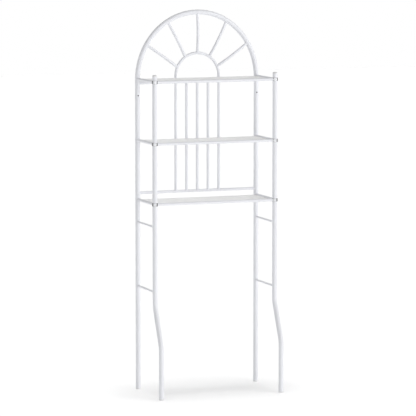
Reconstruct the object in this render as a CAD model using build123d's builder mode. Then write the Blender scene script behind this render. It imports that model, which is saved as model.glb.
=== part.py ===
"""Over the toilet storage rack: a white tube stand with an arched back, spokes and three wire shelves.

Millimetres, +Z up. X runs along the shelves and Y from front to back. The origin is on the floor, in the
middle of the overall width and depth.
"""
from build123d import *
from math import cos, radians, sin, sqrt, tan
import os

os.makedirs("parts", exist_ok=True)

# --- posts and legs ---------------------------------------------------------------------------------
POST_D = 22.0  # outside diameter of the stand's tube
POST_WALL = 1.2
POST_SPACING = 571.0  # left post axis to right post axis
POST_DEPTH = 230.0  # rear post axis to front post axis
LEG_REACH = 81.0  # how far the front feet stand ahead of the front posts
LEG_SLOPE = 25.0  # lean of the slanting part of a front leg, in degrees
LEG_BEND_MIDDLE_Z = 319.0
LEG_BEND_R = 80.0
JOINT_BELOW_SHELF = 51.0  # bottom shelf to the seam where the upper tubes plug into the lower ones
SPIGOT_LENGTH = 35.0
SPIGOT_WALL = 1.0
SPIGOT_SHOULDER = 2.0
POST_ABOVE_SHELF = 25.0  # top shelf to the upper end of a front post

# --- arched back ------------------------------------------------------------------------------------
ARCH_SPRING_BELOW_SHELF = 6.0  # top shelf to the level where the rear posts start to curve
ARCH_RISE = 301.0  # that level to the axis of the arch at its crown
INNER_ARCH_ABOVE_SHELF = 7.5  # top shelf to the centre of the inner arch
ROD_D = 12.7  # outside diameter of the rails, the rods and the spokes
ROD_WALL = 0.8
LOWER_BACK_RAIL_ABOVE_SHELF = 29.5
UPPER_BACK_RAIL_BELOW_SHELF = 18.0
BACK_ROD_COUNT = 5
BACK_ROD_PITCH = 51.7
SPOKE_ANGLES = (145.0, 117.5, 90.0, 62.5, 35.0)  # seen from the middle of the upper back rail
SPOKE_NAMES = ("left_low", "left_high", "centre", "right_high", "right_low")
SPOKE_BOW = 10.0  # how far the middle of a spoke bows towards the front

# --- side rungs -------------------------------------------------------------------------------------
RUNG_D = 9.0
UPPER_RUNG_BELOW_JOINT = 50.0
RUNG_PITCH = 290.5

# --- shelves ----------------------------------------------------------------------------------------
BOTTOM_SHELF_Z = 863.0
LOWER_BAY = 268.0  # bottom shelf to middle shelf
UPPER_BAY = 274.0  # middle shelf to top shelf
REAR_RAIL_D = 8.0
REAR_RAIL_INSET = 20.0  # rear post axis to the axis of a shelf's rear rail
REAR_RAIL_DROP = 2.3  # how far it hangs below the axis of the front rail
LONG_WIRE_D = 3.0
LONG_WIRE_COUNT = 10
CROSS_WIRE_D = 4.0
CROSS_WIRE_COUNT = 3
CROSS_WIRE_PITCH = 248.0
CROSS_WIRE_DROP = 3.0
COLLAR_WALL = 1.7
COLLAR_HEIGHT = 14.0
COLLAR_EASE = 0.4
INSERT_LENGTH = 12.0  # threaded end of a side rail, where it is bolted to the rear post

# --- screws, holes and plugs ------------------------------------------------------------------------
SCREW_D = 4.0
SCREW_HOLE_D = 4.3
SCREW_LENGTH = 8.0  # through a collar into a front post
BOLT_LENGTH = 30.0  # from behind, through a rear post into a side rail
SCREW_HEAD_D = 6.4
SCREW_HEAD_HEIGHT = 2.2
SCREW_SLOT_WIDTH = 1.0
SCREW_SLOT_DEPTH = 0.9
WALL_HOLE_D = 6.0
WALL_HOLE_BELOW_SHELF = 74.0
FOOT_HEIGHT = 5.0
FOOT_EDGE = 1.2
PLUG_LENGTH = 16.0
CAP_DOME_HEIGHT = 8.0
CAP_DOME_ROUNDING = 6.8

# --- clearances -------------------------------------------------------------------------------------
PLUG_GAP = 0.1  # plug or spigot inside its tube, on the radius
COLLAR_GAP = 0.15  # collar round its post, on the radius

# --- derived places ---------------------------------------------------------------------------------
POST_R = POST_D / 2
BORE_R = POST_R - POST_WALL
ROD_R = ROD_D / 2
COLLAR_BORE_R = POST_R + COLLAR_GAP
COLLAR_R = COLLAR_BORE_R + COLLAR_WALL
MIDDLE_SHELF_Z = BOTTOM_SHELF_Z + LOWER_BAY
TOP_SHELF_Z = MIDDLE_SHELF_Z + UPPER_BAY
SHELF_HEIGHTS = {"top": TOP_SHELF_Z, "middle": MIDDLE_SHELF_Z, "bottom": BOTTOM_SHELF_Z}
JOINT_Z = BOTTOM_SHELF_Z - JOINT_BELOW_SHELF
UPPER_RUNG_Z = JOINT_Z - UPPER_RUNG_BELOW_JOINT
RUNG_HEIGHTS = {"upper": UPPER_RUNG_Z, "lower": UPPER_RUNG_Z - RUNG_PITCH}
FRONT_POST_TOP_Z = TOP_SHELF_Z + POST_ABOVE_SHELF
ARCH_SPRING_Z = TOP_SHELF_Z - ARCH_SPRING_BELOW_SHELF
INNER_ARCH_Z = TOP_SHELF_Z + INNER_ARCH_ABOVE_SHELF
LOWER_BACK_RAIL_Z = BOTTOM_SHELF_Z + LOWER_BACK_RAIL_ABOVE_SHELF
UPPER_BACK_RAIL_Z = TOP_SHELF_Z - UPPER_BACK_RAIL_BELOW_SHELF
WALL_HOLE_Z = TOP_SHELF_Z - WALL_HOLE_BELOW_SHELF
REAR_Y = (POST_DEPTH + LEG_REACH - SCREW_HEAD_HEIGHT) / 2
FRONT_Y = REAR_Y - POST_DEPTH
FOOT_Y = FRONT_Y - LEG_REACH
SIDE_X = {"left": -POST_SPACING / 2, "right": POST_SPACING / 2}
HALF_SPACING = POST_SPACING / 2
INNER_ARCH_R = BACK_ROD_PITCH * (BACK_ROD_COUNT - 1) / 2
INWARD = {"left": 1, "right": -1}


def tube_along(path, outer_r, bore_r):
    """A round tube, or a round bar where there is no bore, swept along a path."""
    with BuildPart() as tube:
        with BuildSketch(Plane(origin=path @ 0, z_dir=path % 0)):
            Circle(outer_r)
            if bore_r:
                Circle(bore_r, mode=Mode.SUBTRACT)
        sweep(path=path)
    return tube.part


def bar(start, end, outer_r, bore_r=0):
    """A straight round bar or tube between two points."""
    with BuildLine() as axis:
        Line(start, end)
    return tube_along(axis.line, outer_r, bore_r)


def upright(x, y, bottom_z, top_z, radius):
    """The solid that an upright tube fills, for notching whatever is welded to it."""
    return bar((x, y, bottom_z), (x, y, top_z), radius)


def spigot(x, y):
    """The narrowed end of an upper tube with the shoulder it rests on."""
    with BuildPart() as end:
        with BuildSketch(Plane.XY.offset(JOINT_Z - SPIGOT_LENGTH)):
            with Locations((x, y)):
                Circle(BORE_R - PLUG_GAP)
        extrude(amount=SPIGOT_LENGTH)
        with BuildSketch(Plane.XY.offset(JOINT_Z)):
            with Locations((x, y)):
                Circle(POST_R)
        extrude(amount=SPIGOT_SHOULDER)
        with BuildSketch(Plane.XY.offset(JOINT_Z - SPIGOT_LENGTH)):
            with Locations((x, y)):
                Circle(BORE_R - PLUG_GAP - SPIGOT_WALL)
        extrude(amount=SPIGOT_LENGTH + SPIGOT_SHOULDER, mode=Mode.SUBTRACT)
    return end.part


def screw_plane(x, y, z, toward_x, toward_y):
    """A plane that faces along a screw, from the point of the screw to its head."""
    return Plane(origin=(x, y, z), z_dir=(toward_x, toward_y, 0))


def screw_hole(x, y, z, toward_x, toward_y, through=False):
    """A screw's hole in one wall of a post, or through both of them."""
    with BuildPart() as hole:
        with BuildSketch(screw_plane(x, y, z, toward_x, toward_y)):
            Circle(SCREW_HOLE_D / 2)
        extrude(amount=COLLAR_R + 1, both=through)
    return hole.part


def save(part, label):
    part.label = label
    export_step(part, f"parts/{label}.step")


# --- arch tube: both upper rear posts and the arch over them, bent from one tube ---------------------
with BuildLine(Plane.XZ.offset(-REAR_Y)) as arch_axis:
    Line((HALF_SPACING, JOINT_Z), (HALF_SPACING, ARCH_SPRING_Z))
    EllipticalCenterArc((0, ARCH_SPRING_Z), HALF_SPACING, ARCH_RISE, start_angle=0, arc_size=180)
    Line((-HALF_SPACING, ARCH_SPRING_Z), (-HALF_SPACING, JOINT_Z))
with BuildPart() as arch_tube:
    add(tube_along(arch_axis.line, POST_R, BORE_R))
    for post_x in SIDE_X.values():
        add(spigot(post_x, REAR_Y))
    with BuildSketch(Plane.XZ.offset(-REAR_Y)):
        with Locations(*[(post_x, WALL_HOLE_Z) for post_x in SIDE_X.values()]):
            Circle(WALL_HOLE_D / 2)
    extrude(amount=POST_D, both=True, mode=Mode.SUBTRACT)
    for post_x in SIDE_X.values():
        for shelf_z in SHELF_HEIGHTS.values():
            add(screw_hole(post_x, REAR_Y, shelf_z, 0, 1, through=True), mode=Mode.SUBTRACT)
save(arch_tube.part, "arch_tube")
arch_core = tube_along(arch_axis.line, POST_R, 0)

# --- lower rear legs, upper front posts and bent front legs ------------------------------------------
for side, post_x in SIDE_X.items():
    with BuildPart() as rear_leg:
        add(bar((post_x, REAR_Y, FOOT_HEIGHT), (post_x, REAR_Y, JOINT_Z), POST_R, BORE_R))
    save(rear_leg.part, f"rear_leg_{side}")

    with BuildPart() as front_post:
        add(bar((post_x, FRONT_Y, JOINT_Z), (post_x, FRONT_Y, FRONT_POST_TOP_Z), POST_R, BORE_R))
        add(spigot(post_x, FRONT_Y))
        for shelf_z in SHELF_HEIGHTS.values():
            add(screw_hole(post_x, FRONT_Y, shelf_z, INWARD[side], 1), mode=Mode.SUBTRACT)
    save(front_post.part, f"front_post_{side}")

    half_rise = LEG_REACH / tan(radians(LEG_SLOPE)) / 2
    with BuildLine() as leg_axis:
        FilletPolyline(
            (post_x, FOOT_Y, FOOT_HEIGHT),
            (post_x, FOOT_Y, LEG_BEND_MIDDLE_Z - half_rise),
            (post_x, FRONT_Y, LEG_BEND_MIDDLE_Z + half_rise),
            (post_x, FRONT_Y, JOINT_Z),
            radius=LEG_BEND_R,
        )
    with BuildPart() as front_leg:
        add(tube_along(leg_axis.line, POST_R, BORE_R))
    save(front_leg.part, f"front_leg_{side}")

    for level, rung_z in RUNG_HEIGHTS.items():
        with BuildPart() as rung:
            add(bar((post_x, FRONT_Y, rung_z), (post_x, REAR_Y, rung_z), RUNG_D / 2))
            for post_y in (FRONT_Y, REAR_Y):
                add(upright(post_x, post_y, rung_z - RUNG_D, rung_z + RUNG_D, POST_R), mode=Mode.SUBTRACT)
        save(rung.part, f"rung_{side}_{level}")

# --- plugs: domed caps on the front posts, flat feet under the four legs ------------------------------
with BuildPart() as cap:
    with BuildSketch():
        Circle(POST_R)
    extrude(amount=CAP_DOME_HEIGHT)
    fillet(cap.edges().group_by(Axis.Z)[-1], CAP_DOME_ROUNDING)
    with BuildSketch():
        Circle(BORE_R - PLUG_GAP)
    extrude(amount=-PLUG_LENGTH)
with BuildPart() as foot:
    with BuildSketch():
        Circle(POST_R)
    extrude(amount=FOOT_HEIGHT)
    chamfer(foot.edges().group_by(Axis.Z)[0], FOOT_EDGE)
    with BuildSketch(Plane.XY.offset(FOOT_HEIGHT)):
        Circle(BORE_R - PLUG_GAP)
    extrude(amount=PLUG_LENGTH)
for side, post_x in SIDE_X.items():
    save(cap.part.moved(Location((post_x, FRONT_Y, FRONT_POST_TOP_Z))), f"post_cap_{side}")
    save(foot.part.moved(Location((post_x, REAR_Y, 0))), f"foot_rear_{side}")
    save(foot.part.moved(Location((post_x, FOOT_Y, 0))), f"foot_front_{side}")

# --- back panel: two rails between the rear posts and five upright rods -------------------------------
back_rails = {}
for level, rail_z in {"lower": LOWER_BACK_RAIL_Z, "upper": UPPER_BACK_RAIL_Z}.items():
    with BuildPart() as back_rail:
        add(bar((SIDE_X["left"], REAR_Y, rail_z), (SIDE_X["right"], REAR_Y, rail_z), ROD_R, ROD_R - ROD_WALL))
        for post_x in SIDE_X.values():
            add(upright(post_x, REAR_Y, rail_z - ROD_D, rail_z + ROD_D, POST_R), mode=Mode.SUBTRACT)
    save(back_rail.part, f"back_rail_{level}")
    back_rails[level] = bar((SIDE_X["left"], REAR_Y, rail_z), (SIDE_X["right"], REAR_Y, rail_z), ROD_R)

for number in range(BACK_ROD_COUNT):
    rod_x = (number - (BACK_ROD_COUNT - 1) / 2) * BACK_ROD_PITCH
    with BuildPart() as back_rod:
        add(bar((rod_x, REAR_Y, LOWER_BACK_RAIL_Z), (rod_x, REAR_Y, UPPER_BACK_RAIL_Z), ROD_R,
                ROD_R - ROD_WALL))
        add(back_rails["lower"], mode=Mode.SUBTRACT)
        add(back_rails["upper"], mode=Mode.SUBTRACT)
    save(back_rod.part, f"back_rod_{number + 1}")

# --- sunburst: the inner arch on the upper back rail and five spokes out to the arch tube -------------
with BuildLine(Plane.XZ.offset(-REAR_Y)) as inner_axis:
    Line((INNER_ARCH_R, UPPER_BACK_RAIL_Z), (INNER_ARCH_R, INNER_ARCH_Z))
    CenterArc((0, INNER_ARCH_Z), INNER_ARCH_R, start_angle=0, arc_size=180)
    Line((-INNER_ARCH_R, INNER_ARCH_Z), (-INNER_ARCH_R, UPPER_BACK_RAIL_Z))
inner_core = tube_along(inner_axis.line, ROD_R, 0)
with BuildPart() as inner_arch:
    add(tube_along(inner_axis.line, ROD_R, ROD_R - ROD_WALL))
    add(back_rails["upper"], mode=Mode.SUBTRACT)
save(inner_arch.part, "inner_arch")


def reach_of_arch(angle, half_width, rise, centre_z):
    """Distance from the middle of the upper back rail to an arch's axis in the direction of a spoke."""
    across = cos(radians(angle)) / half_width
    upward = sin(radians(angle)) / rise
    below = (centre_z - UPPER_BACK_RAIL_Z) / rise
    square = across ** 2 + upward ** 2
    return (upward * below + sqrt((upward * below) ** 2 - square * (below ** 2 - 1))) / square


for name, angle in zip(SPOKE_NAMES, SPOKE_ANGLES):
    ends = []
    for arch in ((INNER_ARCH_R, INNER_ARCH_R, INNER_ARCH_Z), (HALF_SPACING, ARCH_RISE, ARCH_SPRING_Z)):
        reach = reach_of_arch(angle, *arch)
        ends.append((reach * cos(radians(angle)), REAR_Y, UPPER_BACK_RAIL_Z + reach * sin(radians(angle))))
    crest = (Vector(*ends[0]) + Vector(*ends[1])) / 2 - Vector(0, SPOKE_BOW, 0)
    with BuildLine() as spoke_axis:
        ThreePointArc(ends[0], crest, ends[1])
    with BuildPart() as spoke:
        add(tube_along(spoke_axis.line, ROD_R, ROD_R - ROD_WALL))
        add(inner_core, mode=Mode.SUBTRACT)
        add(arch_core, mode=Mode.SUBTRACT)
    save(spoke.part, f"spoke_{name}")

# --- shelves: a frame of rails, a welded wire grid and a collar round each front post ------------------
rear_rail_y = REAR_Y - REAR_RAIL_INSET
for shelf, shelf_z in SHELF_HEIGHTS.items():
    rear_rail_z = shelf_z - REAR_RAIL_DROP
    front_core = bar((SIDE_X["left"], FRONT_Y, shelf_z), (SIDE_X["right"], FRONT_Y, shelf_z), ROD_R)
    rear_core = bar((SIDE_X["left"], rear_rail_y, rear_rail_z), (SIDE_X["right"], rear_rail_y, rear_rail_z),
                    REAR_RAIL_D / 2)
    side_cores = [
        bar((post_x, FRONT_Y, shelf_z), (post_x, REAR_Y, shelf_z), ROD_R) for post_x in SIDE_X.values()
    ]
    collar_cores = {
        side: upright(post_x, FRONT_Y, shelf_z - COLLAR_HEIGHT, shelf_z + COLLAR_HEIGHT, COLLAR_R)
        for side, post_x in SIDE_X.items()
    }

    with BuildPart() as front_rail:
        add(bar((SIDE_X["left"], FRONT_Y, shelf_z), (SIDE_X["right"], FRONT_Y, shelf_z), ROD_R,
                ROD_R - ROD_WALL))
        add(list(collar_cores.values()), mode=Mode.SUBTRACT)
    save(front_rail.part, f"{shelf}_shelf_front_rail")

    with BuildPart() as rear_rail:
        add(rear_core)
        add(side_cores, mode=Mode.SUBTRACT)
    save(rear_rail.part, f"{shelf}_shelf_rear_rail")

    for side, post_x in SIDE_X.items():
        with BuildPart() as side_rail:
            add(bar((post_x, FRONT_Y, shelf_z), (post_x, REAR_Y, shelf_z), ROD_R, ROD_R - ROD_WALL))
            add(bar((post_x, REAR_Y - POST_R - INSERT_LENGTH, shelf_z), (post_x, REAR_Y, shelf_z),
                    ROD_R - ROD_WALL / 2, SCREW_HOLE_D / 2))
            add(collar_cores[side], mode=Mode.SUBTRACT)
            add(upright(post_x, REAR_Y, shelf_z - ROD_D, shelf_z + ROD_D, POST_R), mode=Mode.SUBTRACT)
        save(side_rail.part, f"{shelf}_shelf_{side}_rail")

    with BuildPart() as grid:
        wire_pitch = (rear_rail_y - FRONT_Y) / (LONG_WIRE_COUNT + 1)
        for number in range(LONG_WIRE_COUNT):
            wire_y = FRONT_Y + (number + 1) * wire_pitch
            add(bar((SIDE_X["left"], wire_y, shelf_z), (SIDE_X["right"], wire_y, shelf_z), LONG_WIRE_D / 2))
        for number in range(CROSS_WIRE_COUNT):
            wire_x = (number - (CROSS_WIRE_COUNT - 1) / 2) * CROSS_WIRE_PITCH
            wire_z = shelf_z - CROSS_WIRE_DROP
            add(bar((wire_x, FRONT_Y, wire_z), (wire_x, rear_rail_y, wire_z), CROSS_WIRE_D / 2))
        add([front_core, rear_core] + side_cores, mode=Mode.SUBTRACT)
    save(grid.part, f"{shelf}_shelf_grid")

    for side, post_x in SIDE_X.items():
        with BuildPart() as collar:
            with BuildSketch(Plane.XY.offset(shelf_z - COLLAR_HEIGHT / 2)):
                with Locations((post_x, FRONT_Y)):
                    Circle(COLLAR_R)
            extrude(amount=COLLAR_HEIGHT)
            rims = collar.edges().filter_by(GeomType.CIRCLE)
            chamfer(rims, COLLAR_EASE)
            with BuildSketch(Plane.XY.offset(shelf_z - COLLAR_HEIGHT / 2)):
                with Locations((post_x, FRONT_Y)):
                    Circle(COLLAR_BORE_R)
            extrude(amount=COLLAR_HEIGHT, mode=Mode.SUBTRACT)
            add(screw_hole(post_x, FRONT_Y, shelf_z, INWARD[side], 1), mode=Mode.SUBTRACT)
        save(collar.part, f"{shelf}_shelf_collar_{side}")

# --- screws: from inside the shelf through the collars, and from behind through the rear posts ---------


def pan_screw(length):
    """A pan head screw that points down, with a cross recess in its head."""
    with BuildPart() as screw:
        with BuildSketch():
            Circle(SCREW_D / 2)
        extrude(amount=-length)
        with BuildSketch():
            Circle(SCREW_HEAD_D / 2)
        extrude(amount=SCREW_HEAD_HEIGHT)
        fillet(screw.edges().group_by(Axis.Z)[-1], SCREW_HEAD_HEIGHT * 0.6)
        with BuildSketch(Plane.XY.offset(SCREW_HEAD_HEIGHT)):
            for turn in (0, 90):
                with Locations(Location((0, 0), turn)):
                    SlotOverall(SCREW_HEAD_D / 2, SCREW_SLOT_WIDTH)
        extrude(amount=-SCREW_SLOT_DEPTH, mode=Mode.SUBTRACT)
    return screw.part


collar_screw, rear_bolt = pan_screw(SCREW_LENGTH), pan_screw(BOLT_LENGTH)
screws = []
for shelf_z in SHELF_HEIGHTS.values():
    for side, post_x in SIDE_X.items():
        seat = COLLAR_R / sqrt(2)
        place = screw_plane(post_x + INWARD[side] * seat, FRONT_Y + seat, shelf_z, INWARD[side], 1)
        screws.append(collar_screw.moved(place.location))
        screws.append(rear_bolt.moved(screw_plane(post_x, REAR_Y + POST_R, shelf_z, 0, 1).location))
save(Compound(children=screws), "shelf_screws")
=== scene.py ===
"""Over the toilet storage rack: the coated steel stand with its finishes, welds and tube seams, in a studio.

Metres, +Z up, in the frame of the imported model: X runs along the shelves and the front is at -Y.
"""
import math

import bmesh
import bpy
from bpy.props import FloatProperty, FloatVectorProperty, PointerProperty
from bpy.types import Operator, Panel, PropertyGroup
from mathutils import Matrix, Vector
from mathutils.bvhtree import BVHTree


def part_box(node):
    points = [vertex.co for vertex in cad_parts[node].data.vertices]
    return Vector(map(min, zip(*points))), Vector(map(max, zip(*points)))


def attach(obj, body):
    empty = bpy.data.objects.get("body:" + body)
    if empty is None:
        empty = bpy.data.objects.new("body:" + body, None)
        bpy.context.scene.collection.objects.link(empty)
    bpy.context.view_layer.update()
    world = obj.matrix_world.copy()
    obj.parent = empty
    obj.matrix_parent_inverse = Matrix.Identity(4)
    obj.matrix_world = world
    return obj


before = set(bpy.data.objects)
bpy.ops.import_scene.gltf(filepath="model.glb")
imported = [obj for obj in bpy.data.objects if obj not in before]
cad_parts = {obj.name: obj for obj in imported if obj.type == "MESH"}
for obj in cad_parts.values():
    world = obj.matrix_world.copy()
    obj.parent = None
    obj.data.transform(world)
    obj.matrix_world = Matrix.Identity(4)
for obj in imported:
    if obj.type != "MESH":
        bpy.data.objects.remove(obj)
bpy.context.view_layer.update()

bl_info = {
    "name": "Over the Toilet Storage Rack",
    "version": (1, 0, 0),
    "blender": (4, 5, 0),
    "location": "3D View > Sidebar > Rack",
    "description": "Finishes, welds and studio for a tube stand with an arched back and three wire shelves",
    "category": "Object",
}

MM = 0.001

# --- sizes of the stand, and places read from the frame ----------------------------------------------
SIDES = ("left", "right")
LEVELS = ("upper", "lower")
SHELVES = ("top", "middle", "bottom")
LONG_WIRE_COUNT = 10
CROSS_WIRE_COUNT = 3
CROSS_WIRE_PITCH = 248 * MM
LONG_WIRE_RADIUS = 1.5 * MM
CROSS_WIRE_RADIUS = 2.0 * MM
BORE_RADIUS = 9.85 * MM  # the bore of the posts and a little more, where the shade inside them is painted
ARCH_SPRING = 1390 * MM  # just under the height at which the rear posts bend into the arch
SPOKE_BOW = 10 * MM  # how far the middle of a spoke bows towards the front
# degrees from the level at which each spoke leaves the middle of the upper back rail
SPOKE_LEAN = {"left_low": 145.0, "left_high": 117.5, "centre": 90.0, "right_high": 62.5, "right_low": 35.0}

# --- scale and depth of the finishes; a scale is in waves per metre ----------------------------------
PATCH_SCALE = 14.0  # patches of the coat that shine a little less
WAVE_SHARE = 0.8  # how much of a coat's relief is slow waves, the rest being fine grain
THIN_SHADE = 0.96  # the coat's tone where it is thin
DUST_SCALE = 45.0
DUST_ROUGHNESS = 0.4  # what a full film of dust adds
# colour of the dust, which also serves as painted shade on what faces up
DUST_AND_TOP_SHADE_COLOUR = (0.60, 0.595, 0.58, 1.0)
TURNED_SCALE = 5000.0  # lines that turning leaves in plated steel
TURNED_STRETCH = (0.05, 0.05, 1.0)  # draws them out round the vertical axis
TURNED_DEPTH = 0.01 * MM
CLOUD_SCALE = 260.0  # the cloudy cast of the plating
CLOUD_SHADE = 0.86
PAINTED_RIM_START = 0.04  # painted dark reflection on the zinc: how far from square to the eye the rim starts to darken, and where it is darkest
PAINTED_RIM_END = 0.30
PAINTED_RIM_SHADE = 0.22  # the painted tone there, standing in for dark surroundings reflected at the rim
WHITE = (1.0, 1.0, 1.0, 1.0)

# --- make of the welds and seam lips -----------------------------------------------------------------
INSIDE_BAR = 0.9  # where a bead looks for its carrier from, as a share of the bar's radius
REAR_RAIL_BEAD = 1.5  # the bead of a thin rear rail, in wire beads
NUGGET_LENGTH = 1.15  # a spot weld's shape, in nugget radii
NUGGET_HEIGHT = 0.6
LIP_SINK = 0.55  # how deep a seam lip sits in the tube, and how far from the seam, in lips
LIP_GAP = 1.1


def middle(node):
    """The middle of a node's box."""
    low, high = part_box(node)
    return (low + high) / 2


def extent(node):
    """The size of a node's box along each axis."""
    low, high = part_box(node)
    return high - low


# --- what a user would change ------------------------------------------------------------------------
class RackFinish(PropertyGroup):
    """Colours and surface of the steel, the wire and the plastic."""

    coat_colour: FloatVectorProperty(
        name="Powder coat", description="Colour of the coated tubes", subtype="COLOR", size=3,
        min=0.0, max=1.0, default=(0.88, 0.888, 0.927))
    wire_colour: FloatVectorProperty(
        name="Wire coat", description="Colour of the coated shelf wires", subtype="COLOR", size=3,
        min=0.0, max=1.0, default=(0.945, 0.945, 0.942))
    plastic_colour: FloatVectorProperty(
        name="Plastic", description="Colour of the caps and the feet", subtype="COLOR", size=3,
        min=0.0, max=1.0, default=(0.85, 0.852, 0.86))
    zinc_colour: FloatVectorProperty(
        name="Zinc", description="Colour of the plated collars", subtype="COLOR", size=3,
        min=0.0, max=1.0, default=(0.80, 0.81, 0.83))
    screw_colour: FloatVectorProperty(
        name="Screws", description="Colour of the shelf screws and bolts", subtype="COLOR", size=3,
        min=0.0, max=1.0, default=(0.50, 0.50, 0.51))
    # painted shade: a near-black given as the bare steel inside the rear posts, standing in for the shade
    # deep in them
    bore_colour: FloatVectorProperty(
        name="Bore", description="Colour of the bare steel inside the rear posts", subtype="COLOR", size=3,
        min=0.0, max=1.0, default=(0.035, 0.034, 0.033))
    peel_size: FloatProperty(
        name="Peel size", description="Distance between the waves of the powder coat", subtype="DISTANCE",
        unit="LENGTH", min=0.0002, max=0.01, default=1.6 * MM)


class RackWelds(PropertyGroup):
    """Sizes of the welds and of the lips at the tube seams."""

    tube_bead: FloatProperty(
        name="Tube bead", description="Half the width of a bead between two tubes", subtype="DISTANCE",
        unit="LENGTH", min=0.0002, max=0.005, default=1.3 * MM)
    rung_bead: FloatProperty(
        name="Rung bead", description="Half the width of a bead between a rung and a post",
        subtype="DISTANCE", unit="LENGTH", min=0.0002, max=0.005, default=1.1 * MM)
    wire_bead: FloatProperty(
        name="Wire bead", description="Half the width of a bead at the end of a wire", subtype="DISTANCE",
        unit="LENGTH", min=0.0002, max=0.003, default=0.6 * MM)
    nugget_radius: FloatProperty(
        name="Nugget radius", description="Half the length of the spot weld where two wires cross",
        subtype="DISTANCE", unit="LENGTH", min=0.0005, max=0.005, default=2.1 * MM)
    seam_lip: FloatProperty(
        name="Seam lip", description="Half the width of the rolled lip on each side of a tube seam",
        subtype="DISTANCE", unit="LENGTH", min=0.0001, max=0.002, default=0.45 * MM)


class RackStudio(PropertyGroup):
    """Light and background."""

    floor_tone: FloatProperty(
        name="Floor tone", description="How pale the floor is", subtype="FACTOR",
        min=0.0, max=1.0, default=0.8)
    horizon_level: FloatProperty(
        name="Light from the sides", description="Soft light from the level of the horizon", min=0.0, max=2.0,
        default=0.66)
    zenith_level: FloatProperty(
        name="Light from above", description="Soft light from straight above", min=0.0, max=2.0, default=0.25)
    key_level: FloatProperty(
        name="Key", description="Lamp at the front and right", min=0.0, max=10.0, default=1.27)
    floor_level: FloatProperty(
        name="Floor lamp", description="Lamp overhead that lays the stand's shadow on the floor",
        min=0.0, max=10.0, default=1.95)


# --- material building blocks ------------------------------------------------------------------------
def new_group(label, inputs, outputs):
    """An empty shader node group with named sockets."""
    group = bpy.data.node_groups.new(label, "ShaderNodeTree")
    for name, kind, value in inputs:
        socket = group.interface.new_socket(name=name, in_out="INPUT", socket_type=kind)
        if value is not None:
            socket.default_value = value
    for name, kind in outputs:
        group.interface.new_socket(name=name, in_out="OUTPUT", socket_type=kind)
    return group, group.nodes.new("NodeGroupInput"), group.nodes.new("NodeGroupOutput")


def noise(tree, vector, scale, detail=2.0, roughness=0.5):
    """Soft random values over the surface."""
    node = tree.nodes.new("ShaderNodeTexNoise")
    node.inputs["Detail"].default_value = detail
    node.inputs["Roughness"].default_value = roughness
    tree.links.new(vector, node.inputs["Vector"])
    if isinstance(scale, bpy.types.NodeSocket):
        tree.links.new(scale, node.inputs["Scale"])
    else:
        node.inputs["Scale"].default_value = scale
    return node.outputs["Fac"]


def ramp(tree, value, low, high, to_low=0.0, to_high=1.0):
    """Stretches a value from one range to another, without leaving it."""
    node = tree.nodes.new("ShaderNodeMapRange")
    for socket, setting in zip(("From Min", "From Max", "To Min", "To Max"), (low, high, to_low, to_high)):
        if isinstance(setting, bpy.types.NodeSocket):
            tree.links.new(setting, node.inputs[socket])
        else:
            node.inputs[socket].default_value = setting
    tree.links.new(value, node.inputs["Value"])
    return node.outputs["Result"]


def blend_colours(tree, factor, first, second):
    """The first colour at 0 and the second at 1."""
    node = tree.nodes.new("ShaderNodeMix")
    node.data_type = "RGBA"
    tree.links.new(factor, node.inputs["Factor"])
    for place, colour in ((6, first), (7, second)):  # the node's colour sockets
        if isinstance(colour, bpy.types.NodeSocket):
            tree.links.new(colour, node.inputs[place])
        else:
            node.inputs[place].default_value = colour
    return node.outputs[2]


def combine(tree, operation, *values):
    """One step of arithmetic on values that change over the surface."""
    node = tree.nodes.new("ShaderNodeMath")
    node.operation = operation
    for place, value in enumerate(values):
        if isinstance(value, bpy.types.NodeSocket):
            tree.links.new(value, node.inputs[place])
        else:
            node.inputs[place].default_value = value
    return node.outputs["Value"]


def coat_grain_group():
    """Cured coating: slow waves, a fine grain on them, and patches that shine a little less."""
    group, given, made = new_group(
        "Coat Grain",
        (("Vector", "NodeSocketVector", None), ("Tone", "NodeSocketColor", (0.9, 0.9, 0.9, 1.0)),
         ("Thin Tone", "NodeSocketColor", (0.8, 0.8, 0.8, 1.0)), ("Wave Scale", "NodeSocketFloat", 600.0),
         ("Grain Scale", "NodeSocketFloat", 4000.0), ("Shiniest", "NodeSocketFloat", 0.3),
         ("Dullest", "NodeSocketFloat", 0.5)),
        (("Color", "NodeSocketColor"), ("Roughness", "NodeSocketFloat"), ("Height", "NodeSocketFloat")))
    wave = noise(group, given.outputs["Vector"], given.outputs["Wave Scale"], detail=1.0)
    grain = noise(group, given.outputs["Vector"], given.outputs["Grain Scale"], detail=2.0)
    patch = noise(group, given.outputs["Vector"], PATCH_SCALE, detail=4.0, roughness=0.6)
    height = combine(group, "ADD", combine(group, "MULTIPLY", wave, WAVE_SHARE),
                     combine(group, "MULTIPLY", grain, 1 - WAVE_SHARE))
    thin = combine(group, "MULTIPLY", ramp(group, patch, 0.45, 0.75), ramp(group, grain, 0.35, 0.65))
    group.links.new(blend_colours(group, thin, given.outputs["Tone"], given.outputs["Thin Tone"]),
                    made.inputs["Color"])
    group.links.new(ramp(group, patch, 0.3, 0.7, given.outputs["Shiniest"], given.outputs["Dullest"]),
                    made.inputs["Roughness"])
    group.links.new(height, made.inputs["Height"])
    return group


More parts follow.
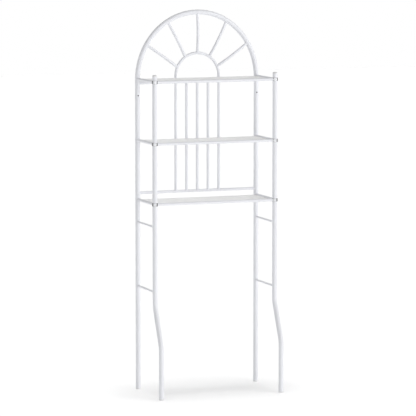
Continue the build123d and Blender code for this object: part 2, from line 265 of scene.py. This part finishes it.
def settled_dust_group():
    """A thin film of dust that lies on what faces up, thicker in some patches than in others; it also darkens
    the tops as painted shade.
    """
    group, given, made = new_group(
        "Settled Dust",
        (("Vector", "NodeSocketVector", None), ("Clean", "NodeSocketColor", (0.9, 0.9, 0.9, 1.0)),
         ("Dust", "NodeSocketColor", (0.6, 0.58, 0.55, 1.0)), ("Amount", "NodeSocketFloat", 0.2),
         ("Roughness", "NodeSocketFloat", 0.4)),
        (("Color", "NodeSocketColor"), ("Roughness", "NodeSocketFloat")))
    surface = group.nodes.new("ShaderNodeNewGeometry")
    parts = group.nodes.new("ShaderNodeSeparateXYZ")
    group.links.new(surface.outputs["Normal"], parts.inputs["Vector"])
    # dust and painted shade: what faces up is greyed, partly as dust and partly as painted shade on the tops
    upward_dust_and_shade = ramp(group, parts.outputs["Z"], 0.35, 1.0)
    cloud = noise(group, given.outputs["Vector"], DUST_SCALE, detail=5.0, roughness=0.65)
    clumps = ramp(group, cloud, 0.3, 0.7, 0.5, 1.0)
    film = combine(group, "MULTIPLY", combine(group, "MULTIPLY", upward_dust_and_shade, clumps), given.outputs["Amount"])
    group.links.new(blend_colours(group, film, given.outputs["Clean"], given.outputs["Dust"]),
                    made.inputs["Color"])
    rougher = combine(group, "ADD", given.outputs["Roughness"],
                      combine(group, "MULTIPLY", film, DUST_ROUGHNESS))
    group.links.new(rougher, made.inputs["Roughness"])
    return group


def brushed_metal_group():
    """Plated steel: fine turned lines round a vertical axis, with a cloudy cast in the plating."""
    group, given, made = new_group(
        "Brushed Metal",
        (("Vector", "NodeSocketVector", None), ("Tone", "NodeSocketColor", (0.5, 0.5, 0.5, 1.0)),
         ("Cast", "NodeSocketColor", (0.45, 0.45, 0.5, 1.0)), ("Shiniest", "NodeSocketFloat", 0.25),
         ("Dullest", "NodeSocketFloat", 0.45)),
        (("Color", "NodeSocketColor"), ("Roughness", "NodeSocketFloat"), ("Height", "NodeSocketFloat")))
    stretch = group.nodes.new("ShaderNodeMapping")
    stretch.inputs["Scale"].default_value = TURNED_STRETCH
    group.links.new(given.outputs["Vector"], stretch.inputs["Vector"])
    lines = noise(group, stretch.outputs["Vector"], TURNED_SCALE, detail=3.0, roughness=0.7)
    clouds = noise(group, given.outputs["Vector"], CLOUD_SCALE, detail=3.0, roughness=0.55)
    group.links.new(blend_colours(group, ramp(group, clouds, 0.35, 0.65), given.outputs["Tone"],
                                  given.outputs["Cast"]), made.inputs["Color"])
    group.links.new(ramp(group, lines, 0.3, 0.7, given.outputs["Shiniest"], given.outputs["Dullest"]),
                    made.inputs["Roughness"])
    group.links.new(lines, made.inputs["Height"])
    return group


def bare_bore_group():
    """Painted shade inside the two upright rear tubes, up to the arch: bare steel, which the coat doesn't
    reach, made near black to stand in for the shade deep in the tube.
    """
    group, given, made = new_group(
        "Bare Bore",
        (("Vector", "NodeSocketVector", None), ("Coat", "NodeSocketColor", (0.8, 0.8, 0.8, 1.0)),
         ("Steel", "NodeSocketColor", (0.05, 0.05, 0.05, 1.0)), ("Post Side", "NodeSocketFloat", 0.0),
         ("Post Depth", "NodeSocketFloat", 0.0), ("Bore", "NodeSocketFloat", 0.0),
         ("Top", "NodeSocketFloat", 0.0)),
        (("Color", "NodeSocketColor"),))
    parts = group.nodes.new("ShaderNodeSeparateXYZ")
    group.links.new(given.outputs["Vector"], parts.inputs["Vector"])
    aside = combine(group, "SUBTRACT", combine(group, "ABSOLUTE", parts.outputs["X"]),
                    given.outputs["Post Side"])
    behind = combine(group, "SUBTRACT", parts.outputs["Y"], given.outputs["Post Depth"])
    away = combine(group, "SQRT", combine(group, "ADD", combine(group, "MULTIPLY", aside, aside),
                                          combine(group, "MULTIPLY", behind, behind)))
    # painted shade: the near-black fills the bore below the arch
    inside = combine(group, "MULTIPLY", combine(group, "LESS_THAN", away, given.outputs["Bore"]),
                     combine(group, "LESS_THAN", parts.outputs["Z"], given.outputs["Top"]))
    group.links.new(blend_colours(group, inside, given.outputs["Coat"], given.outputs["Steel"]),
                    made.inputs["Color"])
    return group


def shared_group(build):
    """The node group that a builder makes, built once."""
    label = " ".join(word.capitalize() for word in build.__name__.split("_")[:-1])
    return bpy.data.node_groups.get(label) or build()


def new_material(label):
    """A material with its shader, its output and the coordinates of its object."""
    material = bpy.data.materials.new(label)
    material.use_nodes = True
    tree = material.node_tree
    tree.nodes.clear()
    shader = tree.nodes.new("ShaderNodeBsdfPrincipled")
    output = tree.nodes.new("ShaderNodeOutputMaterial")
    place = tree.nodes.new("ShaderNodeTexCoord")
    tree.links.new(shader.outputs["BSDF"], output.inputs["Surface"])
    return material, tree, shader, place.outputs["Object"]


def put_group(tree, build, vector, **values):
    """Places a shared group in a material with its own values."""
    node = tree.nodes.new("ShaderNodeGroup")
    node.node_tree = shared_group(build)
    tree.links.new(vector, node.inputs["Vector"])
    for name, value in values.items():
        socket = node.inputs[name.replace("_", " ")]
        if isinstance(value, bpy.types.NodeSocket):
            tree.links.new(value, socket)
        else:
            socket.default_value = value
    return node


def raise_bumps(tree, shader, height, distance):
    """Gives the shader a relief of a real depth."""
    bump = tree.nodes.new("ShaderNodeBump")
    bump.inputs["Distance"].default_value = distance
    bump.inputs["Strength"].default_value = 1.0
    tree.links.new(height, bump.inputs["Height"])
    tree.links.new(bump.outputs["Normal"], shader.inputs["Normal"])


def opaque(colour, shade=1.0):
    """A colour, or a darker shade of it, as a node's socket wants it."""
    return tuple(channel * shade for channel in colour) + (1.0,)


def coated_material(label, colour, wave_scale, grain_scale, shiny, dull, peel, dust):
    """A white coating over steel, or a moulded plastic with the same kind of skin."""
    material, tree, shader, vector = new_material(label)
    skin = put_group(tree, coat_grain_group, vector, Tone=opaque(colour),
                     Thin_Tone=opaque(colour, THIN_SHADE), Wave_Scale=wave_scale, Grain_Scale=grain_scale,
                     Shiniest=shiny, Dullest=dull)
    # dust, and painted shade on what faces up
    film = put_group(tree, settled_dust_group, vector, Clean=skin.outputs["Color"],
                     Dust=DUST_AND_TOP_SHADE_COLOUR, Amount=dust, Roughness=skin.outputs["Roughness"])
    tree.links.new(film.outputs["Color"], shader.inputs["Base Color"])
    tree.links.new(film.outputs["Roughness"], shader.inputs["Roughness"])
    shader.inputs["IOR"].default_value = 1.5
    raise_bumps(tree, shader, skin.outputs["Height"], peel)
    return material


def plated_material(label, colour, shiny, dull):
    """Plated steel, turned round a vertical axis."""
    material, tree, shader, vector = new_material(label)
    metal = put_group(tree, brushed_metal_group, vector, Tone=opaque(colour),
                      Cast=opaque(colour, CLOUD_SHADE), Shiniest=shiny, Dullest=dull)
    tree.links.new(metal.outputs["Color"], shader.inputs["Base Color"])
    tree.links.new(metal.outputs["Roughness"], shader.inputs["Roughness"])
    shader.inputs["Metallic"].default_value = 1.0
    raise_bumps(tree, shader, metal.outputs["Height"], TURNED_DEPTH)
    return material


def made_once(build):
    """Makes a finish on its first use, and finds it by its name after that."""
    label = " ".join(word.capitalize() for word in build.__name__.split("_"))

    def find():
        return bpy.data.materials.get(label) or build(label, bpy.context.scene.rack_finish)
    return find


@made_once
def powder_coat(label, finish):
    """White powder coat on tubes, rails, rods, rungs and spokes, with painted shade inside the rear posts:
    near-black bare steel in their bores.
    """
    material = coated_material(label, finish.coat_colour, wave_scale=1 / finish.peel_size,
                               grain_scale=4200.0, shiny=0.27, dull=0.40, peel=0.13 * MM, dust=0.10)
    tree = material.node_tree
    shader = tree.nodes["Principled BSDF"]
    coat = shader.inputs["Base Color"].links[0].from_socket
    leg = middle("rear_leg_right")
    # painted shade: the bores of the rear posts take the near-black bore colour instead of the coat
    bore = put_group(tree, bare_bore_group, tree.nodes["Texture Coordinate"].outputs["Object"], Coat=coat,
                     Steel=opaque(finish.bore_colour), Post_Side=leg.x, Post_Depth=leg.y, Bore=BORE_RADIUS,
                     Top=ARCH_SPRING)
    tree.links.new(bore.outputs["Color"], shader.inputs["Base Color"])
    return material


@made_once
def wire_coat(label, finish):
    """The smoother, glossier coat on the thin shelf wires."""
    return coated_material(label, finish.wire_colour, wave_scale=1.4 / finish.peel_size,
                           grain_scale=5200.0, shiny=0.25, dull=0.37, peel=0.07 * MM, dust=0.05)


@made_once
def moulded_plastic(label, finish):
    """White plastic of the caps and feet, with a fine spark-eroded grain."""
    return coated_material(label, finish.plastic_colour, wave_scale=2600.0, grain_scale=7000.0,
                           shiny=0.40, dull=0.52, peel=0.03 * MM, dust=0.08)


@made_once
def plated_zinc(label, finish):
    """Bright zinc plate on the collars, with a painted dark reflection: its colour turns dark where the
    surface turns away from the eye.
    """
    material = plated_material(label, finish.zinc_colour, shiny=0.16, dull=0.26)
    tree = material.node_tree
    shader = tree.nodes["Principled BSDF"]
    plate = shader.inputs["Base Color"].links[0].from_socket
    # painted reflection: the zinc's colour is darkened towards its rims as the camera sees them
    turned = tree.nodes.new("ShaderNodeLayerWeight")
    turned.inputs["Blend"].default_value = 0.5
    away = ramp(tree, turned.outputs["Facing"], PAINTED_RIM_START, PAINTED_RIM_END)
    tree.links.new(blend_colours(tree, away, plate, opaque(finish.zinc_colour, PAINTED_RIM_SHADE)),
                   shader.inputs["Base Color"])
    return material


@made_once
def screw_steel(label, finish):
    """Duller plated steel of the screws and bolts."""
    return plated_material(label, finish.screw_colour, shiny=0.20, dull=0.34)


def dress_slot(slot_name, material):
    """Gives every node of the frame that has a slot its finished material."""
    dressed = 0
    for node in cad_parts.values():
        for place in node.material_slots:
            if place.material and place.material.name.split(".")[0] == slot_name:
                place.material = material
                dressed += 1
    if not dressed:
        raise RuntimeError(f"no node has the slot {slot_name}")


# --- shapes that the solids leave out ----------------------------------------------------------------
def finish_piece(bm, label, material):
    """Turns a bmesh into a piece of the stand with smooth, outward faces."""
    bmesh.ops.recalc_face_normals(bm, faces=bm.faces)
    for face in bm.faces:
        face.smooth = True
    mesh = bpy.data.meshes.new(label)
    bm.to_mesh(mesh)
    bm.free()
    mesh.materials.append(material)
    piece = bpy.data.objects.new(label, mesh)
    bpy.context.scene.collection.objects.link(piece)
    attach(piece, "root")
    return piece


def merge_into(bm, part):
    """Adds one small shape to the piece it belongs to."""
    scratch = bpy.data.meshes.new("scratch")
    part.to_mesh(scratch)
    part.free()
    bm.from_mesh(scratch)
    bpy.data.meshes.remove(scratch)


def ring(radius, half_width, steps, sides):
    """A round ring about +Z at the origin, spun from its round section."""
    bm = bmesh.new()
    bmesh.ops.create_circle(bm, segments=sides, radius=half_width)
    bmesh.ops.rotate(bm, verts=bm.verts, cent=(0, 0, 0), matrix=Matrix.Rotation(math.pi / 2, 3, "X"))
    bmesh.ops.translate(bm, verts=bm.verts, vec=(radius, 0, 0))
    bmesh.ops.spin(bm, geom=bm.verts[:] + bm.edges[:], cent=(0, 0, 0), axis=(0, 0, 1), dvec=(0, 0, 0),
                   angle=math.tau, steps=steps, use_merge=True)
    return bm


def surface_of(*nodes):
    """The surface of some nodes, to find where a bar meets them."""
    bm = bmesh.new()
    for node in nodes:
        bm.from_mesh(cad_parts[node].data)
    tree = BVHTree.FromBMesh(bm)
    bm.free()
    return tree


def add_bead(bm, start, toward, radius, half_width, carrier, steps=28, sides=8):
    """A bead of weld round a bar, on the line where the bar meets the surface of its carrier."""
    place = Matrix.Translation(start) @ toward.to_track_quat("Z", "Y").to_matrix().to_4x4()
    along = (place.to_3x3() @ Vector((0, 0, 1))).normalized()
    bead = ring(radius, half_width, steps, sides)
    for vert in bead.verts:
        outward = Vector((vert.co.x, vert.co.y, 0)).normalized()
        point, _, _, distance = carrier.ray_cast(place @ (outward * radius * INSIDE_BAR), along)
        if point is None:
            raise RuntimeError("a bead finds nothing to sit on")
        vert.co.z += distance
    bmesh.ops.transform(bead, verts=bead.verts, matrix=place)
    merge_into(bm, bead)


def add_end_beads(bm, bar, carriers, half_width, **detail):
    """Beads at the welded ends of a straight bar that runs along an axis of the frame."""
    size = extent(bar)
    axis = max(range(3), key=lambda i: size[i])
    radius = min(size[i] for i in range(3) if i != axis) / 2
    toward = Vector([1.0 if i == axis else 0.0 for i in range(3)])
    for direction, carrier in zip((-1, 1), carriers):
        if carrier:
            add_bead(bm, middle(bar), toward * direction, radius, half_width, surface_of(*carrier), **detail)


def on_spoke(near, far, share):
    """Point and direction on a bowed spoke: its middle at 0, and its ends at -1 and 1."""
    half = (far - near) / 2
    radius = (half.length_squared + SPOKE_BOW ** 2) / (2 * SPOKE_BOW)
    along = share * half.length
    depth = math.sqrt(radius ** 2 - along ** 2)
    point = (near + far) / 2 + half * share + Vector((0, radius - SPOKE_BOW - depth, 0))
    return point, (half.normalized() * depth + Vector((0, along, 0))).normalized()


def add_nugget(bm, centre, length, width, height):
    """The squeezed spot weld between two crossing wires."""
    nugget = bmesh.new()
    bmesh.ops.create_uvsphere(nugget, u_segments=8, v_segments=6, radius=1.0)
    bmesh.ops.scale(nugget, verts=nugget.verts, vec=(length, width, height))
    bmesh.ops.translate(nugget, verts=nugget.verts, vec=centre)
    merge_into(bm, nugget)


# --- operators, one for each group of pieces ---------------------------------------------------------
class RACK_OT_coat_tubes(Operator):
    """Powder coat the posts, the legs, the arches, the rods and the rails"""
    bl_idname = "rack.coat_tubes"
    bl_label = "Coat tubes"

    def execute(self, context):
        dress_slot("white_powder_coat", powder_coat())
        return {"FINISHED"}


class RACK_OT_coat_rungs(Operator):
    """Powder coat the side rungs, like the posts that carry them"""
    bl_idname = "rack.coat_rungs"
    bl_label = "Coat rungs"

    def execute(self, context):
        for side in SIDES:
            for level in LEVELS:
                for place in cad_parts[f"rung_{side}_{level}"].material_slots:
                    place.material = powder_coat()
        return {"FINISHED"}


class RACK_OT_coat_wires(Operator):
    """Coat the shelf wires and their rear rails"""
    bl_idname = "rack.coat_wires"
    bl_label = "Coat wires"

    def execute(self, context):
        dress_slot("white_coated_wire", wire_coat())
        return {"FINISHED"}


class RACK_OT_plate_collars(Operator):
    """Plate the collars that hold the shelves to the posts"""
    bl_idname = "rack.plate_collars"
    bl_label = "Plate collars"

    def execute(self, context):
        dress_slot("zinc_plated_steel", plated_zinc())
        return {"FINISHED"}


class RACK_OT_polish_screws(Operator):
    """Finish the screws of the collars and the bolts of the rear posts"""
    bl_idname = "rack.polish_screws"
    bl_label = "Polish screws"

    def execute(self, context):
        dress_slot("screw_steel", screw_steel())
        return {"FINISHED"}


class RACK_OT_mould_ends(Operator):
    """Finish the post caps and the feet in moulded plastic"""
    bl_idname = "rack.mould_ends"
    bl_label = "Mould caps and feet"

    def execute(self, context):
        dress_slot("white_plastic", moulded_plastic())
        return {"FINISHED"}


class RACK_OT_weld_back(Operator):
    """Weld the rods, rails, inner arch and spokes of the arched back"""
    bl_idname = "rack.weld_back"
    bl_label = "Weld back"

    def execute(self, context):
        half_width = context.scene.rack_welds.tube_bead
        bm = bmesh.new()
        for level in LEVELS:
            add_end_beads(bm, f"back_rail_{level}", (("arch_tube",), ("arch_tube",)), half_width)
        for number in range(1, 6):
            add_end_beads(bm, f"back_rod_{number}", (("back_rail_lower",), ("back_rail_upper",)), half_width)
        finish_piece(bm, "back_panel_welds", powder_coat())

        bm = bmesh.new()
        hub = middle("back_rail_upper")
        rail = surface_of("back_rail_upper")
        radius = extent("inner_arch").y / 2
        foot_x = extent("inner_arch").x / 2 - radius
        for side in (-1, 1):
            start = Vector((side * foot_x, hub.y, hub.z + 4 * radius))  # well above the rail
            add_bead(bm, start, Vector((0, 0, -1)), radius, half_width, rail)
        inner, outer = surface_of("inner_arch"), surface_of("arch_tube")
        post_radius = extent("front_post_left").x / 2
        for lean in SPOKE_LEAN.values():
            toward = Vector((math.cos(math.radians(lean)), 0, math.sin(math.radians(lean))))
            near = hub + toward * (inner.ray_cast(hub, toward)[3] + radius)
            far = hub + toward * (outer.ray_cast(hub, toward)[3] + post_radius)
            half_length = (far - near).length / 2
            for end, depth, carrier in ((-1, radius, inner), (1, post_radius, outer)):
                point, along = on_spoke(near, far, end * (1 - depth / half_length))
                add_bead(bm, point - along * end * radius, along * end, radius, half_width, carrier)
        finish_piece(bm, "sunburst_welds", powder_coat())
        return {"FINISHED"}


class RACK_OT_weld_rungs(Operator):
    """Weld the side rungs to the posts and legs"""
    bl_idname = "rack.weld_rungs"
    bl_label = "Weld rungs"

    def execute(self, context):
        bm = bmesh.new()
        for side in SIDES:
            posts = ((f"front_leg_{side}",), (f"rear_leg_{side}",))
            for level in LEVELS:
                add_end_beads(bm, f"rung_{side}_{level}", posts, context.scene.rack_welds.rung_bead)
        finish_piece(bm, "rung_welds", powder_coat())
        return {"FINISHED"}


class RACK_OT_weld_shelves(Operator):
    """Weld the rails of each shelf to its collars, and its wires to the rails and to each other"""
    bl_idname = "rack.weld_shelves"
    bl_label = "Weld shelves"

    def execute(self, context):
        for shelf in SHELVES:
            self.weld_rails(shelf, context.scene.rack_welds)
            self.weld_wires(shelf, context.scene.rack_welds)
        return {"FINISHED"}

    def weld_rails(self, shelf, sizes):
        """Beads between the rails of a shelf and its collars."""
        bm = bmesh.new()
        collars = {side: f"{shelf}_shelf_collar_{side}" for side in SIDES}
        add_end_beads(bm, f"{shelf}_shelf_front_rail", [(collar,) for collar in collars.values()],
                      sizes.tube_bead)
        for side, collar in collars.items():
            add_end_beads(bm, f"{shelf}_shelf_{side}_rail", ((collar,), None), sizes.tube_bead)
        finish_piece(bm, f"{shelf}_shelf_rail_welds", powder_coat())

    def weld_wires(self, shelf, sizes):
        """Beads at the ends of a shelf's wires and rear rail, and a spot weld at each crossing."""
        bm = bmesh.new()
        side_rails = [(f"{shelf}_shelf_{side}_rail",) for side in SIDES]
        add_end_beads(bm, f"{shelf}_shelf_rear_rail", side_rails, sizes.wire_bead * REAR_RAIL_BEAD,
                      steps=18, sides=6)
        front, rear = middle(f"{shelf}_shelf_front_rail"), middle(f"{shelf}_shelf_rear_rail")
        pitch = (rear.y - front.y) / (LONG_WIRE_COUNT + 1)
        long_ys = [front.y + (number + 1) * pitch for number in range(LONG_WIRE_COUNT)]
        cross_xs = [(number - (CROSS_WIRE_COUNT - 1) / 2) * CROSS_WIRE_PITCH
                    for number in range(CROSS_WIRE_COUNT)]
        cross_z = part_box(f"{shelf}_shelf_grid")[0].z + CROSS_WIRE_RADIUS
        rails = [surface_of(*nodes) for nodes in side_rails]
        ends = [surface_of(f"{shelf}_shelf_{place}_rail") for place in ("front", "rear")]
        for y in long_ys:
            for direction, rail in zip((-1, 1), rails):
                add_bead(bm, Vector((0, y, front.z)), Vector((direction, 0, 0)), LONG_WIRE_RADIUS,
                         sizes.wire_bead, rail, steps=12, sides=5)
        for x in cross_xs:
            for direction, rail in zip((-1, 1), ends):
                add_bead(bm, Vector((x, (front.y + rear.y) / 2, cross_z)), Vector((0, direction, 0)),
                         CROSS_WIRE_RADIUS, sizes.wire_bead, rail, steps=12, sides=5)
            for y in long_ys:
                add_nugget(bm, (x, y, (front.z + cross_z) / 2), sizes.nugget_radius * NUGGET_LENGTH,
                           sizes.nugget_radius, sizes.nugget_radius * NUGGET_HEIGHT)
        finish_piece(bm, f"{shelf}_shelf_wire_welds", wire_coat())


class RACK_OT_roll_seams(Operator):
    """Roll a small lip on each side of the seams where the upper tubes plug into the lower ones"""
    bl_idname = "rack.roll_seams"
    bl_label = "Roll seams"

    def execute(self, context):
        lip = context.scene.rack_welds.seam_lip
        bm = bmesh.new()
        for side in SIDES:
            for leg in (f"rear_leg_{side}", f"front_leg_{side}"):
                low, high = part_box(leg)
                radius = (high.x - low.x) / 2
                y = high.y - radius
                for direction in (-1, 1):
                    edge = ring(radius - lip * LIP_SINK, lip, steps=48, sides=8)
                    bmesh.ops.translate(edge, verts=edge.verts,
                                        vec=((low.x + high.x) / 2, y, high.z + direction * lip * LIP_GAP))
                    merge_into(bm, edge)
        finish_piece(bm, "tube_seam_lips", powder_coat())
        return {"FINISHED"}


class RACK_OT_build_studio(Operator):
    """Lay the floor, hang the lamps and set the camera"""
    bl_idname = "rack.build_studio"
    bl_label = "Build studio"

    CAMERA_PLACE = Vector((-4.67485, -12.3928, 2.33591))
    CAMERA_DOWN = 6.4906  # degrees below the horizon
    CAMERA_TURN = 20.6425  # degrees from straight along +Y towards +X
    CAMERA_LENS = 257.353
    CAMERA_SENSOR = 36.0
    CAMERA_REACH = 200.0
    FLOOR_SIZE = 40.0
    FLOOR_LIFT = 0.15  # glow that brings the lit floor to white in the picture
    KEY_PLACE = (3.3, -3.7, 1.9)
    KEY_SOFTNESS = 40  # degrees that the lamp spans
    FLOOR_LAMP_PLACE = (0.0, 0.06, 4.2)
    FLOOR_LAMP_SOFTNESS = 22
    LAMP_TARGET_HEIGHT = 0.9

    def execute(self, context):
        studio = context.scene.rack_studio
        self.light_world(context.scene, studio)
        self.lay_floor(context.scene, studio)
        self.hang_lamp(context.scene, "key_lamp", self.KEY_PLACE, studio.key_level, self.KEY_SOFTNESS)
        overhead = self.hang_lamp(context.scene, "floor_lamp", self.FLOOR_LAMP_PLACE, studio.floor_level,
                                  self.FLOOR_LAMP_SOFTNESS)
        lit = bpy.data.collections.new("lit_by_floor_lamp")
        lit.objects.link(bpy.data.objects["studio_floor"])
        overhead.light_linking.receiver_collection = lit
        self.set_camera(context.scene)
        context.scene.view_settings.view_transform = "Standard"
        return {"FINISHED"}

    def seen_directly(self, tree):
        """1 for what the camera, a reflection or a clear surface sees, and 0 for the light itself."""
        path = tree.nodes.new("ShaderNodeLightPath")
        seen = combine(tree, "MAXIMUM", path.outputs["Is Camera Ray"], path.outputs["Is Glossy Ray"])
        return combine(tree, "MAXIMUM", seen, path.outputs["Is Transmission Ray"])

    def light_world(self, scene, studio):
        """Soft light from all round, in front of a white that is only seen."""
        world = bpy.data.worlds.new("Studio")
        world.use_nodes = True
        tree = world.node_tree
        tree.nodes.clear()
        fill, backdrop = (tree.nodes.new("ShaderNodeBackground") for _ in range(2))
        fill.inputs["Color"].default_value = WHITE
        place = tree.nodes.new("ShaderNodeTexCoord")
        parts = tree.nodes.new("ShaderNodeSeparateXYZ")
        tree.links.new(place.outputs["Generated"], parts.inputs["Vector"])
        tree.links.new(ramp(tree, parts.outputs["Z"], 0.0, 1.0, studio.horizon_level, studio.zenith_level),
                       fill.inputs["Strength"])
        backdrop.inputs["Color"].default_value = WHITE
        backdrop.inputs["Strength"].default_value = 1.0
        choose = tree.nodes.new("ShaderNodeMixShader")
        output = tree.nodes.new("ShaderNodeOutputWorld")
        tree.links.new(self.seen_directly(tree), choose.inputs["Fac"])
        tree.links.new(fill.outputs["Background"], choose.inputs[1])
        tree.links.new(backdrop.outputs["Background"], choose.inputs[2])
        tree.links.new(choose.outputs["Shader"], output.inputs["Surface"])
        scene.world = world

    def lay_floor(self, scene, studio):
        """A pale floor that shows white and keeps the stand's shadow."""
        bm = bmesh.new()
        bmesh.ops.create_grid(bm, x_segments=2, y_segments=2, size=self.FLOOR_SIZE / 2)
        mesh = bpy.data.meshes.new("studio_floor")
        bm.to_mesh(mesh)
        bm.free()
        material = bpy.data.materials.new("Studio Floor")
        material.use_nodes = True
        tree = material.node_tree
        tree.nodes.clear()
        paint = tree.nodes.new("ShaderNodeBsdfDiffuse")
        paint.inputs["Color"].default_value = opaque((studio.floor_tone,) * 3)
        lift = tree.nodes.new("ShaderNodeEmission")
        lift.inputs["Color"].default_value = WHITE
        tree.links.new(combine(tree, "MULTIPLY", self.seen_directly(tree), self.FLOOR_LIFT),
                       lift.inputs["Strength"])
        both = tree.nodes.new("ShaderNodeAddShader")
        output = tree.nodes.new("ShaderNodeOutputMaterial")
        tree.links.new(paint.outputs["BSDF"], both.inputs[0])
        tree.links.new(lift.outputs["Emission"], both.inputs[1])
        tree.links.new(both.outputs["Shader"], output.inputs["Surface"])
        mesh.materials.append(material)
        floor = bpy.data.objects.new("studio_floor", mesh)
        scene.collection.objects.link(floor)

    def hang_lamp(self, scene, label, place, level, softness):
        """A wide, even lamp that shines from a place towards the middle of the stand."""
        lamp = bpy.data.lights.new(label, "SUN")
        lamp.energy = level
        lamp.angle = math.radians(softness)
        holder = bpy.data.objects.new(label, lamp)
        holder.location = place
        target = Vector((0, 0, self.LAMP_TARGET_HEIGHT))
        holder.rotation_euler = (target - holder.location).to_track_quat("-Z", "Y").to_euler()
        scene.collection.objects.link(holder)
        return holder

    def set_camera(self, scene):
        """A long lens from the left and a little above."""
        lens = bpy.data.cameras.new("studio_camera")
        lens.sensor_width = self.CAMERA_SENSOR
        lens.lens = self.CAMERA_LENS
        lens.clip_end = self.CAMERA_REACH
        camera = bpy.data.objects.new("studio_camera", lens)
        camera.location = self.CAMERA_PLACE
        camera.rotation_euler = (math.radians(90 - self.CAMERA_DOWN), 0, math.radians(-self.CAMERA_TURN))
        scene.collection.objects.link(camera)
        scene.camera = camera


class RACK_PT_build(Panel):
    """Steps and settings of the stand"""
    bl_idname = "RACK_PT_build"
    bl_label = "Storage rack"
    bl_space_type = "VIEW_3D"
    bl_region_type = "UI"
    bl_category = "Rack"

    def draw(self, context):
        for step in STEPS:
            self.layout.operator(step.bl_idname)
        for group in (context.scene.rack_finish, context.scene.rack_welds, context.scene.rack_studio):
            box = self.layout.box()
            for name in group.bl_rna.properties.keys():
                if name not in ("rna_type", "name"):
                    box.prop(group, name)


SETTINGS = {"rack_finish": RackFinish, "rack_welds": RackWelds, "rack_studio": RackStudio}
STEPS = (RACK_OT_coat_tubes, RACK_OT_coat_wires, RACK_OT_coat_rungs, RACK_OT_plate_collars,
         RACK_OT_polish_screws, RACK_OT_mould_ends, RACK_OT_weld_back, RACK_OT_weld_rungs,
         RACK_OT_weld_shelves, RACK_OT_roll_seams, RACK_OT_build_studio)


def register():
    for cls in (*SETTINGS.values(), *STEPS, RACK_PT_build):
        bpy.utils.register_class(cls)
    for name, cls in SETTINGS.items():
        setattr(bpy.types.Scene, name, PointerProperty(type=cls))


def unregister():
    for name in SETTINGS:
        delattr(bpy.types.Scene, name)
    for cls in reversed((*SETTINGS.values(), *STEPS, RACK_PT_build)):
        bpy.utils.unregister_class(cls)


def main():
    register()
    for step in STEPS:
        getattr(bpy.ops.rack, step.bl_idname.split(".")[1])()


if __name__ == "__main__":
    main()
